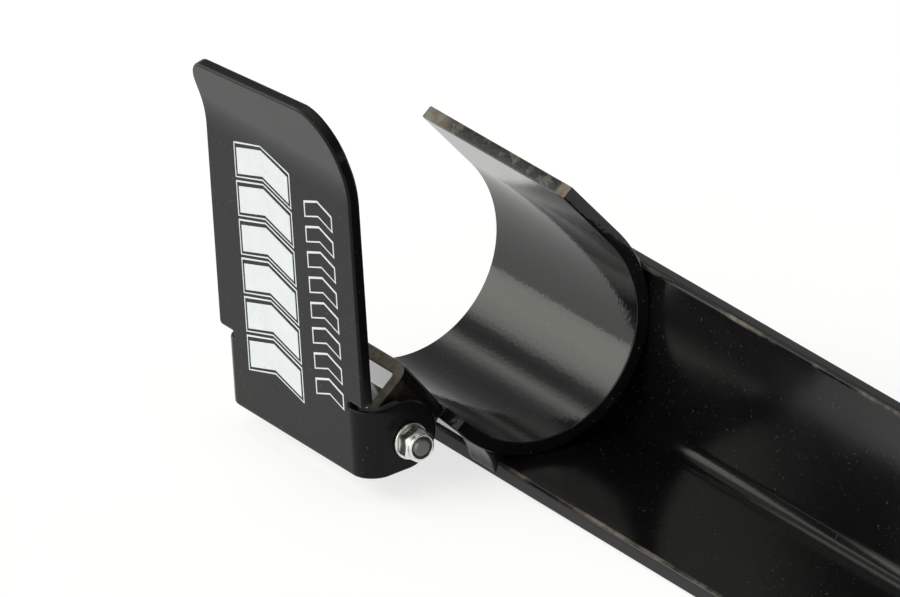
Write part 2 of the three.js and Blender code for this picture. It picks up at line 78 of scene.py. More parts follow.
CRADLE_RADIUS = 36.0
CRADLE_THICKNESS = 4.5
CRADLE_LENGTH = 85.0
CRADLE_CENTRE = LEG_THICKNESS + CLEARANCE + CRADLE_RADIUS + CRADLE_THICKNESS
CRADLE_TILT = math.radians(44.2)
UPPER_ARM = 26.0
LOWER_ARM = 24.2
TOE_IN = math.radians(2.5)

TAB_SPAN = 71.0
TAB_BEND = 1.5
TAB_LOW = 4.6
TAB_END_RADIUS = 12.0
NOTCH = 1.4
CORNER_CUT = 6.5
CORNER_DROP = 3.6

FLAP_LEAN = math.radians(5.1)
FLAP_THICKNESS = 4.0
FLAP_BACK = 12.6
FLAP_WIDTH = 87.6
EAR_SPAN = 86.0
EAR_BEND = 4.0
EAR_END_RADIUS = 11.7
EAR_END = Vector((1.7, 1.9))
FLAP_BOTTOM = -10.4
EAR_TOP = 12.4
PANEL_LOW = 15.0
PANEL_TOP = 111.0
TOP_SLANT = math.radians(3.8)
LIP_START = 83.0
LIP_RADIUS = 40.0
LIP_ANGLE = math.radians(17)
NEAR_CORNER = 15.5
FAR_CORNER = 9.0

BORE_RADIUS = 3.08
GAP = 0.2
WASHER_THICKNESS = 1.2
WASHER_RADIUS = 6.0
NUT_FLATS = 10.0
NUT_HEX_HEIGHT = 4.4
NUT_HEIGHT = 6.0
HEAD_HEIGHT = 4.0
THREAD_RADIUS = 3.0
THREAD_PITCH = 1.0
THREAD_PROUD = 0.5
SLEEVE_RADIUS = 5.0
FRICTION_RADIUS = 7.0
FRICTION_THICKNESS = 3.0

STOP_POSITION = 430.0
STOP_THICKNESS = 5.0
STOP_SIDE = 46.0

MIDDLE = CRADLE_LENGTH / 2
ORIGIN = Vector((LEG / 2, MIDDLE, 0))
PIVOT = Vector(frame["joints"][0]["pos_m"]) / MM + ORIGIN

EAR_NEAR = MIDDLE + EAR_SPAN / 2
EAR_FAR = MIDDLE - EAR_SPAN / 2
TAB_NEAR = MIDDLE + TAB_SPAN / 2
TAB_FAR = MIDDLE - TAB_SPAN / 2
NUT_BASE = EAR_NEAR + 2 * GAP + WASHER_THICKNESS
HEAD_BASE = EAR_FAR - 2 * GAP - WASHER_THICKNESS

CRADLE_FRAME = Matrix.Translation((CRADLE_CENTRE, 0, CRADLE_CENTRE)) @ Matrix.Rotation(CRADLE_TILT, 4, "Y")
ARM_TURN = Matrix.Rotation(-TOE_IN, 4, "Y")
ARM_FRAME = CRADLE_FRAME @ ARM_TURN
FLAP_FRAME = Matrix.Translation((PIVOT.x, 0, PIVOT.z)) @ Matrix.Rotation(FLAP_LEAN, 4, "Y")
PIVOT_FRAME = Matrix.Translation((PIVOT.x, 0, PIVOT.z))


# ------------------------------------------------------------------ outlines

def arc(centre, radius, start, end, steps):
    """Points round centre, from angle start to angle end."""
    return [
        Vector((
            centre[0] + radius * math.cos(start + (end - start) * i / steps),
            centre[1] + radius * math.sin(start + (end - start) * i / steps),
        ))
        for i in range(steps + 1)
    ]


def curve(start, control, end, steps):
    """Points on a quadratic curve, its start left out."""
    a, b, c = Vector(start), Vector(control), Vector(end)
    made = []
    for i in range(1, steps + 1):
        t = i / steps
        made.append(a * (1 - t) ** 2 + b * 2 * t * (1 - t) + c * t * t)
    return made


def tidy(points, least=0.02):
    """The outline without points that repeat the one before."""
    kept = []
    for point in map(Vector, points):
        if not kept or (point - kept[-1]).length > least:
            kept.append(point)
    while (kept[0] - kept[-1]).length < least:
        kept.pop()
    return kept


def inset(points, distance):
    """A counter-clockwise outline moved inwards, corner by corner."""
    count = len(points)
    moved = []
    for i, point in enumerate(points):
        before = (point - points[i - 1]).normalized()
        after = (points[(i + 1) % count] - point).normalized()
        inward = Vector((-(before.y + after.y), before.x + after.x)).normalized()
        stretch = max(0.5, inward.dot(Vector((-after.y, after.x))))
        moved.append(point + inward * (distance / stretch))
    return moved


# ------------------------------------------------------------------ solids

def rim_rings(thickness, radius, steps):
    """(inset, depth) of each ring round a plate's edge, from one face to the other."""
    quarter = [math.pi / 2 * i / steps for i in range(steps + 1)]
    first = [(radius * (1 - math.sin(a)), radius * (1 - math.cos(a))) for a in quarter]
    return first + [(step_in, thickness - depth) for step_in, depth in reversed(first)]


def skin(bm, loops, closed=False):
    """Faces from each loop of vertices to the next, and over both ends unless the loops close."""
    count = len(loops[0])
    pairs = list(zip(loops, loops[1:]))
    if closed:
        pairs.append((loops[-1], loops[0]))
    for low, high in pairs:
        for i in range(count):
            j = (i + 1) % count
            bm.faces.new((low[i], low[j], high[j], high[i]))
    if not closed:
        bm.faces.new(list(reversed(loops[0])))
        bm.faces.new(loops[-1])


def plate(outline, thickness, radius, steps=3):
    """A closed flat plate with rounded rims: outline in (u, v), thickness along w."""
    outline = tidy(outline)
    bm = bmesh.new()
    rings = []
    for step_in, depth in rim_rings(thickness, radius, steps):
        rings.append([bm.verts.new((p.x, p.y, depth)) for p in inset(outline, step_in)])
    skin(bm, rings)
    return bm


def slice_at(bm, axis, values):
    """Cuts every face along planes across one axis, so that the plate can bend there."""
    normal = Vector((0, 0, 0))
    normal[axis] = 1
    for value in values:
        everything = bm.verts[:] + bm.edges[:] + bm.faces[:]
        bmesh.ops.bisect_plane(bm, geom=everything, dist=1e-4, plane_co=normal * value, plane_no=normal)


def reshape(bm, rule):
    """Moves every vertex by a rule from flat to bent."""
    for vert in bm.verts:
        vert.co = rule(vert.co.copy())
    bmesh.ops.recalc_face_normals(bm, faces=bm.faces[:])


def spread(start, end, steps):
    """Evenly spread values, both ends included."""
    return [start + (end - start) * i / steps for i in range(steps + 1)]


def turned(rings, segments=64, closed=False):
    """A body round the Y axis. Each ring is a function of the angle that gives (radius, y)."""
    bm = bmesh.new()
    loops = []
    for ring in rings:
        loop = []
        for i in range(segments):
            angle = 2 * math.pi * i / segments
            radius, y = ring(angle)
            loop.append(bm.verts.new((radius * math.cos(angle), y, radius * math.sin(angle))))
        loops.append(loop)
    skin(bm, loops, closed)
    bmesh.ops.recalc_face_normals(bm, faces=bm.faces[:])
    return bm


def level(radius, y):
    """A plain round ring."""
    return lambda angle: (radius, y)


def rounded(centre_radius, centre_y, radius, start, end, steps=4):
    """Rings along a rounded edge; angles in degrees in the (radius, y) plane."""
    made = []
    for i in range(steps + 1):
        a = math.radians(start + (end - start) * i / steps)
        made.append(level(centre_radius + radius * math.cos(a), centre_y + radius * math.sin(a)))
    return made


def hexagon(angle, flats, softness=9.0):
    """Radius of a hexagon with slightly rounded corners."""
    total = 0.0
    for k in range(6):
        facing = math.cos(angle - math.radians(60 * k))
        if facing > 0.3:
            total += math.exp(-softness * flats / 2 / facing)
    return -math.log(total) / softness


def chamfered(flats, plane, flat_radius, drop_sign):
    """Hexagon ring where the 30 degree chamfer that starts at flat_radius on plane meets the sides."""
    slope = math.tan(math.radians(30))

    def ring(angle):
        side = hexagon(angle, flats)
        return side, plane + drop_sign * max(0.0, side - flat_radius) * slope

    return ring


def washer_body(inner, outer, low, high, edge=0.25):
    """A washer with rounded outer edges."""
    return turned([
        level(inner, low + 0.1),
        level(inner + 0.1, low),
        *rounded(outer - edge, low + edge, edge, -90, 0, 3),
        *rounded(outer - edge, high - edge, edge, 0, 90, 3),
        level(inner + 0.1, high),
        level(inner, high - 0.1),
    ], closed=True)


# ------------------------------------------------------------------ pieces

def placed(name, bm):
    """An object in the scene with the bmesh as its mesh."""
    mesh = bpy.data.meshes.new(name)
    bm.to_mesh(mesh)
    bm.free()
    made = bpy.data.objects.new(name, mesh)
    bpy.context.scene.collection.objects.link(made)
    return made


def discard(work):
    """Removes an object and its mesh."""
    mesh = work.data
    bpy.data.objects.remove(work)
    bpy.data.meshes.remove(mesh)


def make_piece(name, bm, place, body, nodes, material, sharp=40.0):
    """Turns a bmesh in millimetres into a piece in metres that rides on a body."""
    bm.transform(Matrix.Translation(-ORIGIN) @ place)
    bm.transform(Matrix.Scale(MM, 4))
    piece = placed(name, bm)
    finish_surface(piece, sharp)
    piece.data.materials.append(material)
    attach(piece, body)
    if nodes:
        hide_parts(*nodes)


def finish_surface(piece, sharp):
    """Smooth shading that keeps flats flat and hard corners hard."""
    mesh = piece.data
    mesh.polygons.foreach_set("use_smooth", [True] * len(mesh.polygons))
    mesh.set_sharp_from_angle(angle=math.radians(sharp))
    weighted = piece.modifiers.new("flats", "WEIGHTED_NORMAL")
    weighted.keep_sharp = True
    weighted.weight = 100


def settled(bm, *steps):
    """The bmesh after modifiers; each step is (kind, settings)."""
    work = placed("work", bm)
    for kind, settings in steps:
        modifier = work.modifiers.new(kind, kind)
        for key, value in settings.items():
            setattr(modifier, key, value)
    graph = bpy.context.evaluated_depsgraph_get()
    result = bmesh.new()
    result.from_object(work, graph)
    discard(work)
    return result


def drilled(bm, x, z, radius):
    """The bmesh with a hole along Y through everything at (x, z)."""
    cutter_bm = turned([level(radius, -100), level(radius, 200)], segments=48)
    reshape(cutter_bm, lambda co: co + Vector((x, 0, z)))
    cutter = placed("cutter", cutter_bm)
    result = settled(bm, ("BOOLEAN", {"operation": "DIFFERENCE", "solver": "EXACT", "object": cutter}))
    discard(cutter)
    return result


# ------------------------------------------------------------------ flap

EAR_NECK = EAR_SPAN / 2 - EAR_BEND - FLAP_THICKNESS
EAR_NEUTRAL = EAR_BEND + FLAP_THICKNESS / 2
EAR_ARC = EAR_NEUTRAL * math.pi / 2
EAR_CENTRE = FLAP_BACK - EAR_BEND
FLAP_FRONT = FLAP_BACK + FLAP_THICKNESS
RELIEF = (EAR_TOP + PANEL_LOW) / 2
LIP_MIDDLE = LIP_RADIUS + FLAP_THICKNESS / 2
LIP_CUTS = [LIP_START + LIP_MIDDLE * math.sin(LIP_ANGLE * i / 10) for i in range(11)]


def ear_flat():
    """One ear unrolled: distance from the middle of the flap and height, from its foot up to its top."""
    blend = math.radians(130)
    hump_end = EAR_END + EAR_END_RADIUS * Vector((math.cos(blend), math.sin(blend)))
    crest = EAR_END.x + 2, EAR_TOP + 0.6
    side = [Vector((EAR_CENTRE, FLAP_BOTTOM))]
    side += arc(EAR_END, EAR_END_RADIUS, math.radians(-90), blend - 2 * math.pi, 40)
    side += curve(hump_end, (EAR_END.x - 3, EAR_TOP + 1.3), crest, 6)
    side += curve(crest, (EAR_END.x + 6, EAR_TOP), (EAR_CENTRE, EAR_TOP), 4)
    flat = [Vector((EAR_NECK + EAR_ARC + EAR_CENTRE - p.x, p.y)) for p in side]
    return flat + [Vector((EAR_NECK, EAR_TOP + 0.5))]


def flap_outline():
    """The flap unrolled flat, counter-clockwise, with the near side at positive distance."""
    half = FLAP_WIDTH / 2

    def rise(across):
        return PANEL_TOP + across * math.tan(TOP_SLANT)

    ear = ear_flat()
    relief = [
        Vector((EAR_NECK, PANEL_LOW - 1)),
        Vector((EAR_NECK + 0.3, PANEL_LOW - 0.3)),
        Vector((EAR_NECK + 1, PANEL_LOW)),
        Vector((half - 1.5, PANEL_LOW)),
        Vector((half - 0.4, PANEL_LOW + 0.4)),
        Vector((half, PANEL_LOW + 1.5)),
    ]
    top = math.pi / 2 + TOP_SLANT
    near = arc((half - NEAR_CORNER, rise(half) - NEAR_CORNER), NEAR_CORNER, 0, top, 20)
    far = arc((-half + FAR_CORNER, rise(-half) - FAR_CORNER), FAR_CORNER, top, math.pi, 14)
    mirrored = [Vector((-p.x, p.y)) for p in reversed(ear + relief)]
    return ear + relief + near + far + mirrored


def bend_flap(co):
    """From the flat flap (distance from the middle, height, depth below the front face) to its shape."""
    across, height, depth = co
    if height < RELIEF and abs(across) > EAR_NECK:
        run = abs(across) - EAR_NECK
        angle = min(run / EAR_NEUTRAL, math.pi / 2)
        radius = EAR_BEND + FLAP_THICKNESS - depth
        x = EAR_CENTRE + radius * math.cos(angle) - max(0.0, run - EAR_ARC)
        y = math.copysign(EAR_NECK + radius * math.sin(angle), across)
        return Vector((x, MIDDLE + y, height))
    bent = LIP_MIDDLE * math.sin(LIP_ANGLE)
    over = height - LIP_START
    angle = math.asin(min(max(0.0, over), bent) / LIP_MIDDLE)
    x = FLAP_FRONT - FLAP_THICKNESS / 2 + LIP_MIDDLE * (1 - math.cos(angle))
    x += max(0.0, over - bent) * math.tan(angle)
    out = FLAP_THICKNESS / 2 - depth
    return Vector((x + out * math.cos(angle), MIDDLE + across, height - out * math.sin(angle)))


def flap_solid():
    bm = plate(flap_outline(), FLAP_THICKNESS, 0.9, steps=5)
    for sign in (-1, 1):
        slice_at(bm, 0, [sign * (EAR_NECK + EAR_NEUTRAL * a) for a in spread(0, math.pi / 2, 14)])
    slice_at(bm, 1, [RELIEF, *LIP_CUTS])
    reshape(bm, bend_flap)
    return drilled(bm, 0, 0, BORE_RADIUS)


# ------------------------------------------------------------------ cradle

BOWL_MIDDLE = CRADLE_RADIUS + CRADLE_THICKNESS / 2
BOWL_SWEEP = math.pi + TOE_IN
BOWL_RUN = BOWL_MIDDLE * BOWL_SWEEP
TAB_NECK = TAB_SPAN / 2 - TAB_BEND - CRADLE_THICKNESS
TAB_NEUTRAL = TAB_BEND + CRADLE_THICKNESS / 2
TAB_ARC = TAB_NEUTRAL * math.pi / 2
TAB_CENTRE = CRADLE_RADIUS + CRADLE_THICKNESS + TAB_BEND
ARM_FULL = TAB_LOW - NOTCH
TAB_LINE = ARM_FULL + 0.9
SHEAR = 0.5
PIVOT_IN_ARM = ARM_FRAME.inverted() @ Vector((PIVOT.x, 0, PIVOT.z))


def tangent(point, centre, radius, side):
    """Where the line from point touches a circle, on one side or the other."""
    to_centre = Vector(centre) - Vector(point)
    reach = math.sqrt(to_centre.length ** 2 - radius ** 2)
    turn = side * math.asin(radius / to_centre.length)
    direction = Vector((
        to_centre.x * math.cos(turn) - to_centre.y * math.sin(turn),
        to_centre.x * math.sin(turn) + to_centre.y * math.cos(turn),
    )).normalized()
    return Vector(point) + direction * reach


def tab_flat(point):
    """A point of a tab, seen from its side, unrolled and sheared clear of the arm below it."""
    if point.x < TAB_CENTRE:
        share = min(1.0, max(0.0, (TAB_CENTRE - point.x) / TAB_NEUTRAL))
        run = TAB_NEUTRAL * (math.pi / 2 - math.asin(share))
    else:
        run = TAB_ARC + point.x - TAB_CENTRE
    return Vector((TAB_NECK + run, point.y + SHEAR * run))


def tab_outline():
    """One tab, from the notch round its end and back to the arm's top."""
    centre = Vector((PIVOT_IN_ARM.x, PIVOT_IN_ARM.z))
    root = TAB_CENTRE - TAB_NEUTRAL
    foot = Vector((CRADLE_RADIUS - 1, TAB_LOW))
    low = tangent(foot, centre, TAB_END_RADIUS, -1)
    crest = Vector((TAB_CENTRE, LOWER_ARM))
    high = tangent(crest, centre, TAB_END_RADIUS, 1)
    start = math.atan2(low.y - centre.y, low.x - centre.x)
    end = math.atan2(high.y - centre.y, high.x - centre.x)
    slope = (low.y - foot.y) / (low.x - foot.x)
    side = [Vector((x, foot.y + (x - foot.x) * slope)) for x in spread(root, low.x, 14)[:-1]]
    side += arc(centre, TAB_END_RADIUS, start, end, 30)
    side += [Vector((TAB_CENTRE, LOWER_ARM))]
    for angle in spread(0, math.pi / 2, 8)[1:]:
        side.append(Vector((TAB_CENTRE - TAB_NEUTRAL * math.sin(angle), LOWER_ARM)))
    return [tab_flat(p) for p in side]


def cradle_outline():
    """The cradle unrolled flat: distance from the middle, and length from the foot of the lower arm."""
    half = CRADLE_LENGTH / 2
    tab = tab_outline()
    notch = [
        Vector((half, ARM_FULL - CORNER_DROP)),
        Vector((half - CORNER_CUT + 0.6, ARM_FULL - 0.35)),
        Vector((half - CORNER_CUT - 0.4, ARM_FULL)),
        Vector((TAB_NECK + 0.5, ARM_FULL)),
        Vector((TAB_NECK - 0.2, ARM_FULL + 0.3)),
        Vector((TAB_NECK - 0.4, ARM_FULL + 0.9)),
        Vector((TAB_NECK - 0.3, ARM_FULL + 1.4)),
    ]
    side = notch + tab
    mirrored = [Vector((-p.x, p.y)) for p in reversed(side)]
    back = -BOWL_RUN - UPPER_ARM
    return [Vector((-half, back)), Vector((half, back)), *side, *mirrored]


def bend_cradle(co):
    """From the flat cradle (distance from the middle, length, depth from the inner face) to its shape."""
    across, length, depth = co
    if length > TAB_LINE and abs(across) > TAB_NECK:
        run = abs(across) - TAB_NECK
        height = length - SHEAR * run
        angle = min(run / TAB_NEUTRAL, math.pi / 2)
        radius = TAB_BEND + CRADLE_THICKNESS - depth
        x = TAB_CENTRE - radius * math.cos(angle) + max(0.0, run - TAB_ARC)
        y = math.copysign(TAB_NECK + radius * math.sin(angle), across)
        return ARM_TURN @ Vector((x, MIDDLE + y, height))
    if length > 0:
        return ARM_TURN @ Vector((CRADLE_RADIUS + depth, MIDDLE + across, length))
    radius = CRADLE_RADIUS + depth
    angle = TOE_IN - min(-length / BOWL_MIDDLE, BOWL_SWEEP)
    beyond = max(0.0, -length - BOWL_RUN)
    return Vector((radius * math.cos(angle), MIDDLE + across, radius * math.sin(angle) + beyond))


def cradle_solid():
    bm = plate(cradle_outline(), CRADLE_THICKNESS, 0.45, steps=3)
    slice_at(bm, 1, [-BOWL_MIDDLE * a for a in spread(0, BOWL_SWEEP, 90)])
    slice_at(bm, 1, [TAB_LINE])
    for sign in (-1, 1):
        slice_at(bm, 0, [sign * (TAB_NECK + TAB_NEUTRAL * a) for a in spread(0, math.pi / 2, 12)])
    reshape(bm, bend_cradle)
    bm.transform(CRADLE_FRAME)
    return drilled(bm, PIVOT.x, PIVOT.z, BORE_RADIUS)


# ------------------------------------------------------------------ angle and butt stop

def angle_outline():
    """Section of the angle in (x, z)."""
    root = LEG_THICKNESS + ROOT_FILLET
    toe = LEG - TOE_RADIUS
    shoulder = LEG_THICKNESS - TOE_RADIUS
    points = [Vector((0, 0)), Vector((LEG, 0))]
    points += arc((toe, shoulder), TOE_RADIUS, 0, math.pi / 2, 6)
    points += arc((root, root), ROOT_FILLET, -math.pi / 2, -math.pi, 10)
    points += arc((shoulder, toe), TOE_RADIUS, 0, math.pi / 2, 6)
    points += [Vector((0, LEG))]
    return points


def angle_solid():
    bm = bmesh.new()
    outline = tidy(angle_outline())
    ends = [[bm.verts.new((p.x, y, p.y)) for p in outline] for y in (0, SPIKE_LENGTH)]
    count = len(outline)
    for i in range(count):
        j = (i + 1) % count
        bm.faces.new((ends[0][i], ends[0][j], ends[1][j], ends[1][i]))
    bm.faces.new(ends[0])
    bm.faces.new(ends[1])
    slope = (LEG - POINT_WIDTH) / POINT_LENGTH
    for axis in (0, 2):
        normal = Vector((0, slope, 0))
        normal[axis] = 1
        start = Vector((0, SPIKE_LENGTH - POINT_LENGTH, 0))
        start[axis] = LEG
        everything = bm.verts[:] + bm.edges[:] + bm.faces[:]
        cut = bmesh.ops.bisect_plane(
            bm, geom=everything, dist=1e-4, plane_co=start, plane_no=normal, clear_outer=True,
        )
        rim = [e for e in cut["geom_cut"] if isinstance(e, bmesh.types.BMEdge)]
        bmesh.ops.contextual_create(bm, geom=rim)
    bmesh.ops.recalc_face_normals(bm, faces=bm.faces[:])
    bevel = {"width": 0.6, "segments": 3, "limit_method": "ANGLE", "angle_limit": math.radians(38)}
    return settled(bm, ("BEVEL", bevel))


def stop_solid():
    low = LEG_THICKNESS + CLEARANCE
    relief = LEG_THICKNESS + ROOT_FILLET + 0.5
    outline = [
        Vector((relief, low)),
        *arc((STOP_SIDE - 3, low + 3), 3, -math.pi / 2, 0, 5),
        Vector((STOP_SIDE, low + 8)),
        Vector((low + 8, STOP_SIDE)),
        *arc((low + 3, STOP_SIDE - 3), 3, math.pi / 2, math.pi, 5),
        Vector((low, relief)),
    ]
    bm = plate(outline, STOP_THICKNESS, 0.6)
    reshape(bm, lambda co: Vector((co.x, STOP_POSITION + co.z, co.y)))
    return bm


# ------------------------------------------------------------------ fasteners

def bolt_solid():
    """Hexagon bolt: chamfered head, shank, and a cut thread where it leaves the nut."""
    top = HEAD_BASE - HEAD_HEIGHT
    end = NUT_BASE + NUT_HEIGHT + THREAD_PROUD
    thread_start = end - 9.0
    depth = 0.55

    def thread(y):
        def ring(angle):
            turn = (y / THREAD_PITCH - angle / (2 * math.pi)) % 1.0
            cut = depth * min(1.0, max(0.0, 1.6 - abs(2 * turn - 1) * 2.2))
            tip = THREAD_RADIUS - max(0.0, y - (end - 0.75)) * 0.9
            return min(THREAD_RADIUS - cut, tip), y
        return ring

    steps = round((end - thread_start) / (THREAD_PITCH / 10))
    return turned([
        level(2.0, top + 0.25),
        level(2.6, top),
        level(4.6, top),
        chamfered(NUT_FLATS, top, 4.6, 1),
        chamfered(NUT_FLATS, HEAD_BASE - 0.05, 4.7, -1),
        level(4.55, HEAD_BASE),
        level(3.3, HEAD_BASE),
        level(THREAD_RADIUS, HEAD_BASE + 0.3),
        level(THREAD_RADIUS, thread_start - 0.2),
        *[thread(y) for y in spread(thread_start, end, steps)],
    ], segments=72)


def nut_solid():
    """Lock nut: chamfered hexagon with a round collar turned in over its insert."""
    low, shoulder, high = NUT_BASE, NUT_BASE + NUT_HEX_HEIGHT, NUT_BASE + NUT_HEIGHT
    collar = 4.55
    return turned([
        level(BORE_RADIUS + 0.35, low),
        level(4.75, low),
        chamfered(NUT_FLATS, low, 4.75, 1),
        chamfered(NUT_FLATS, shoulder, 4.85, -1),
        level(4.8, shoulder),
        level(collar, shoulder + 0.15),
        *rounded(collar - 0.55, high - 0.55, 0.55, 0, 90, 6),
        level(3.8, high - 0.02),
        level(3.66, high - 0.2),
        level(4.12, high - 0.42),
        level(4.12, shoulder - 0.15),
        level(BORE_RADIUS, shoulder - 0.15),
        level(BORE_RADIUS, low + 0.35),
    ], segments=96, closed=True)


# ------------------------------------------------------------------ welds

def weld_solid(start, end, radius, seed, pitch=2.1):
    """A weld bead: overlapping slanted ripples along a round-ended ridge."""
    start, end = Vector(start), Vector(end)
    run = end - start
    length = run.length
    half = length / 2
    reach = half + radius * 0.9
    along = run.normalized()
    side = along.orthogonal().normalized()
    other = along.cross(side)
    rows = max(24, int(length * 3.2))
    around = 28
    bm = bmesh.new()
    loops = []
    for i in range(rows + 1):
        t = -1 + 2 * i / rows
        position = half * t
        end_gap = reach - abs(position) * reach / half
        taper = math.sqrt(max(0.03, min(1.0, 1 - (1 - min(1.0, end_gap / (1.1 * radius))) ** 2)))
        loop = []
        for k in range(around):
            angle = 2 * math.pi * k / around
            phase = (position / pitch + 0.32 * math.cos(angle) + seed * 0.37) % 1.0
            ripple = 0.10 * math.sin(math.pi * phase) ** 0.7
            lump = noise.noise(Vector((position * 0.22, seed * 3.1, math.cos(angle) * 0.7)))
            r = radius * taper * (0.90 + ripple + 0.10 * lump)
            stretch = position * (1 + 0.9 * radius / half)
            centre = start + run / 2 + along * stretch
            spot = centre + side * (r * math.cos(angle)) + other * (r * math.sin(angle))
            loop.append(bm.verts.new(spot))
        loops.append(loop)
    skin(bm, loops)
    bmesh.ops.recalc_face_normals(bm, faces=bm.faces[:])
    return bm


def fillet_solid(low, high, seed, fade):
    """A weld between the lower leg's edge and the cradle, dressed smooth: y from low to high, and the
    length over which each end dies out."""
    root = Vector((58.6, 6.2))
    shown = [
        Vector((59.6, 0.9)),
        *curve((59.6, 0.9), (60.3, 1.0), (60.6, 2.4), 4),
        *curve((60.6, 2.4), (61.3, 5.8), (64.6, 9.8), 8),
    ]
    hidden = [Vector((61.8, 9.8)), Vector((57.6, 8.2)), Vector((56.4, 4.4)), Vector((58.8, 2.4))]
    rows = max(16, int((high - low) * 1.6))
    bm = bmesh.new()
    loops = []
    for i in range(rows + 1):
        y = low + (high - low) * i / rows
        near_end = min((y - low) / fade[0], (high - y) / fade[1], 1.0)
        size = 0.35 + 0.65 * math.sin(max(0.0, near_end) * math.pi / 2)
        loop = []
        for k, point in enumerate(shown + hidden):
            uneven = 0.03 * noise.noise(Vector((y * 0.18, k * 0.15, seed * 2.7))) if k < len(shown) else 0.0
            spot = root + (point - root) * (size + uneven)
            loop.append(bm.verts.new((spot.x, y, spot.y)))
        loops.append(loop)
    skin(bm, loops)
    bmesh.ops.recalc_face_normals(bm, faces=bm.faces[:])
    return bm


# ------------------------------------------------------------------ printed graphic

def chevron(middle, base, half, rise, band):
    """A band that points up the flap: an outline in (distance from the middle, height)."""
    return [
        Vector((middle - half, base)),
        Vector((middle, base + rise)),
        Vector((middle + half, base)),
        Vector((middle + half, base + band)),
        Vector((middle, base + rise + band)),
        Vector((middle - half, base + band)),
    ]


def print_solid(outlines, proud=0.07, sunk=0.12):
    """Thin raised ink areas on the flap's front face; each shape is a pair of outlines, outer and
    inner, and is filled where inner is None."""
    bm = bmesh.new()
    for outer, inner in outlines:
        loops = []
        for points in (outer, inner):
            if points is None:
                continue
            low = [bm.verts.new((p.x, p.y, sunk)) for p in points]
            high = [bm.verts.new((p.x, p.y, -proud)) for p in points]
            loops.append((low, high))
            count = len(points)
            for i in range(count):
                j = (i + 1) % count
                bm.faces.new((low[i], low[j], high[j], high[i]))
        if inner is None:
            bm.faces.new(loops[0][0])
            bm.faces.new(loops[0][1])
        else:
            (outer_low, outer_high), (inner_low, inner_high) = loops
            for i in range(count):
                j = (i + 1) % count
                bm.faces.new((outer_low[i], outer_low[j], inner_low[j], inner_low[i]))
                bm.faces.new((outer_high[i], outer_high[j], inner_high[j], inner_high[i]))
    slice_at(bm, 1, LIP_CUTS)
    reshape(bm, bend_flap)
    return bm


# ------------------------------------------------------------------ materials

def add(tree, kind, inputs=None, **settings):
    """A node with its settings and inputs; an input is a value or another node's socket."""
    node = tree.nodes.new(kind)
    for key, value in settings.items():
        setattr(node, key, value)
    for key, value in (inputs or {}).items():
        if isinstance(value, bpy.types.NodeSocket):
            tree.links.new(value, node.inputs[key])
        else:
            node.inputs[key].default_value = value
    return node


def start_material(name):
    """A material, its nodes, its shader, and the place on the surface in metres."""
    material = bpy.data.materials.new(name)
    material.use_nodes = True
    tree = material.node_tree
    place = add(tree, "ShaderNodeTexCoord").outputs["Object"]
    return material, tree, tree.nodes["Principled BSDF"], place


def noise_node(tree, place, scale, detail=3.0, roughness=0.55, stretch=None):
    """Noise with features about 1/scale metres long; stretch scales the three axes."""
    vector = place
    if stretch:
        vector = add(tree, "ShaderNodeMapping", {"Vector": place, "Scale": stretch}).outputs["Vector"]
    return add(tree, "ShaderNodeTexNoise", {
        "Vector": vector, "Scale": scale, "Detail": detail, "Roughness": roughness,
    }).outputs["Fac"]


def mapped(tree, value, low, high, to_low, to_high):
    """A value between two limits, carried over to two others."""
    return add(tree, "ShaderNodeMapRange", {
        "Value": value, "From Min": low, "From Max": high, "To Min": to_low, "To Max": to_high,
    }).outputs["Result"]


# the colour sockets of a Mix node, by position
COLOUR_A = 6
COLOUR_B = 7
COLOUR_RESULT = 2


def mixed(tree, factor, first, second):
    """Colour mix; first and second are colours or sockets."""
    sockets = {"Factor": factor, COLOUR_A: first, COLOUR_B: second}
    return add(tree, "ShaderNodeMix", sockets, data_type="RGBA").outputs[COLOUR_RESULT]


def bumped(tree, height, strength, distance, normal=None):
    """Fine relief, on top of another where one is given."""
    inputs = {"Height": height, "Strength": strength, "Distance": distance}
    if normal is not None:
        inputs["Normal"] = normal
    return add(tree, "ShaderNodeBump", inputs).outputs["Normal"]


def slab(tree, place, normal, low, high):
    """0 to 1 between two distances along a direction, in millimetres."""
    along = add(tree, "ShaderNodeVectorMath", {0: place, 1: tuple(normal)}, operation="DOT_PRODUCT")
    return mapped(tree, along.outputs["Value"], low * MM, high * MM, 0.0, 1.0)


def joined(tree, kind, *values):
    """Values put together with one math operation."""
    total = values[0]
    for value in values[1:]:
        total = add(tree, "ShaderNodeMath", {0: total, 1: value}, operation=kind).outputs[0]
    return total


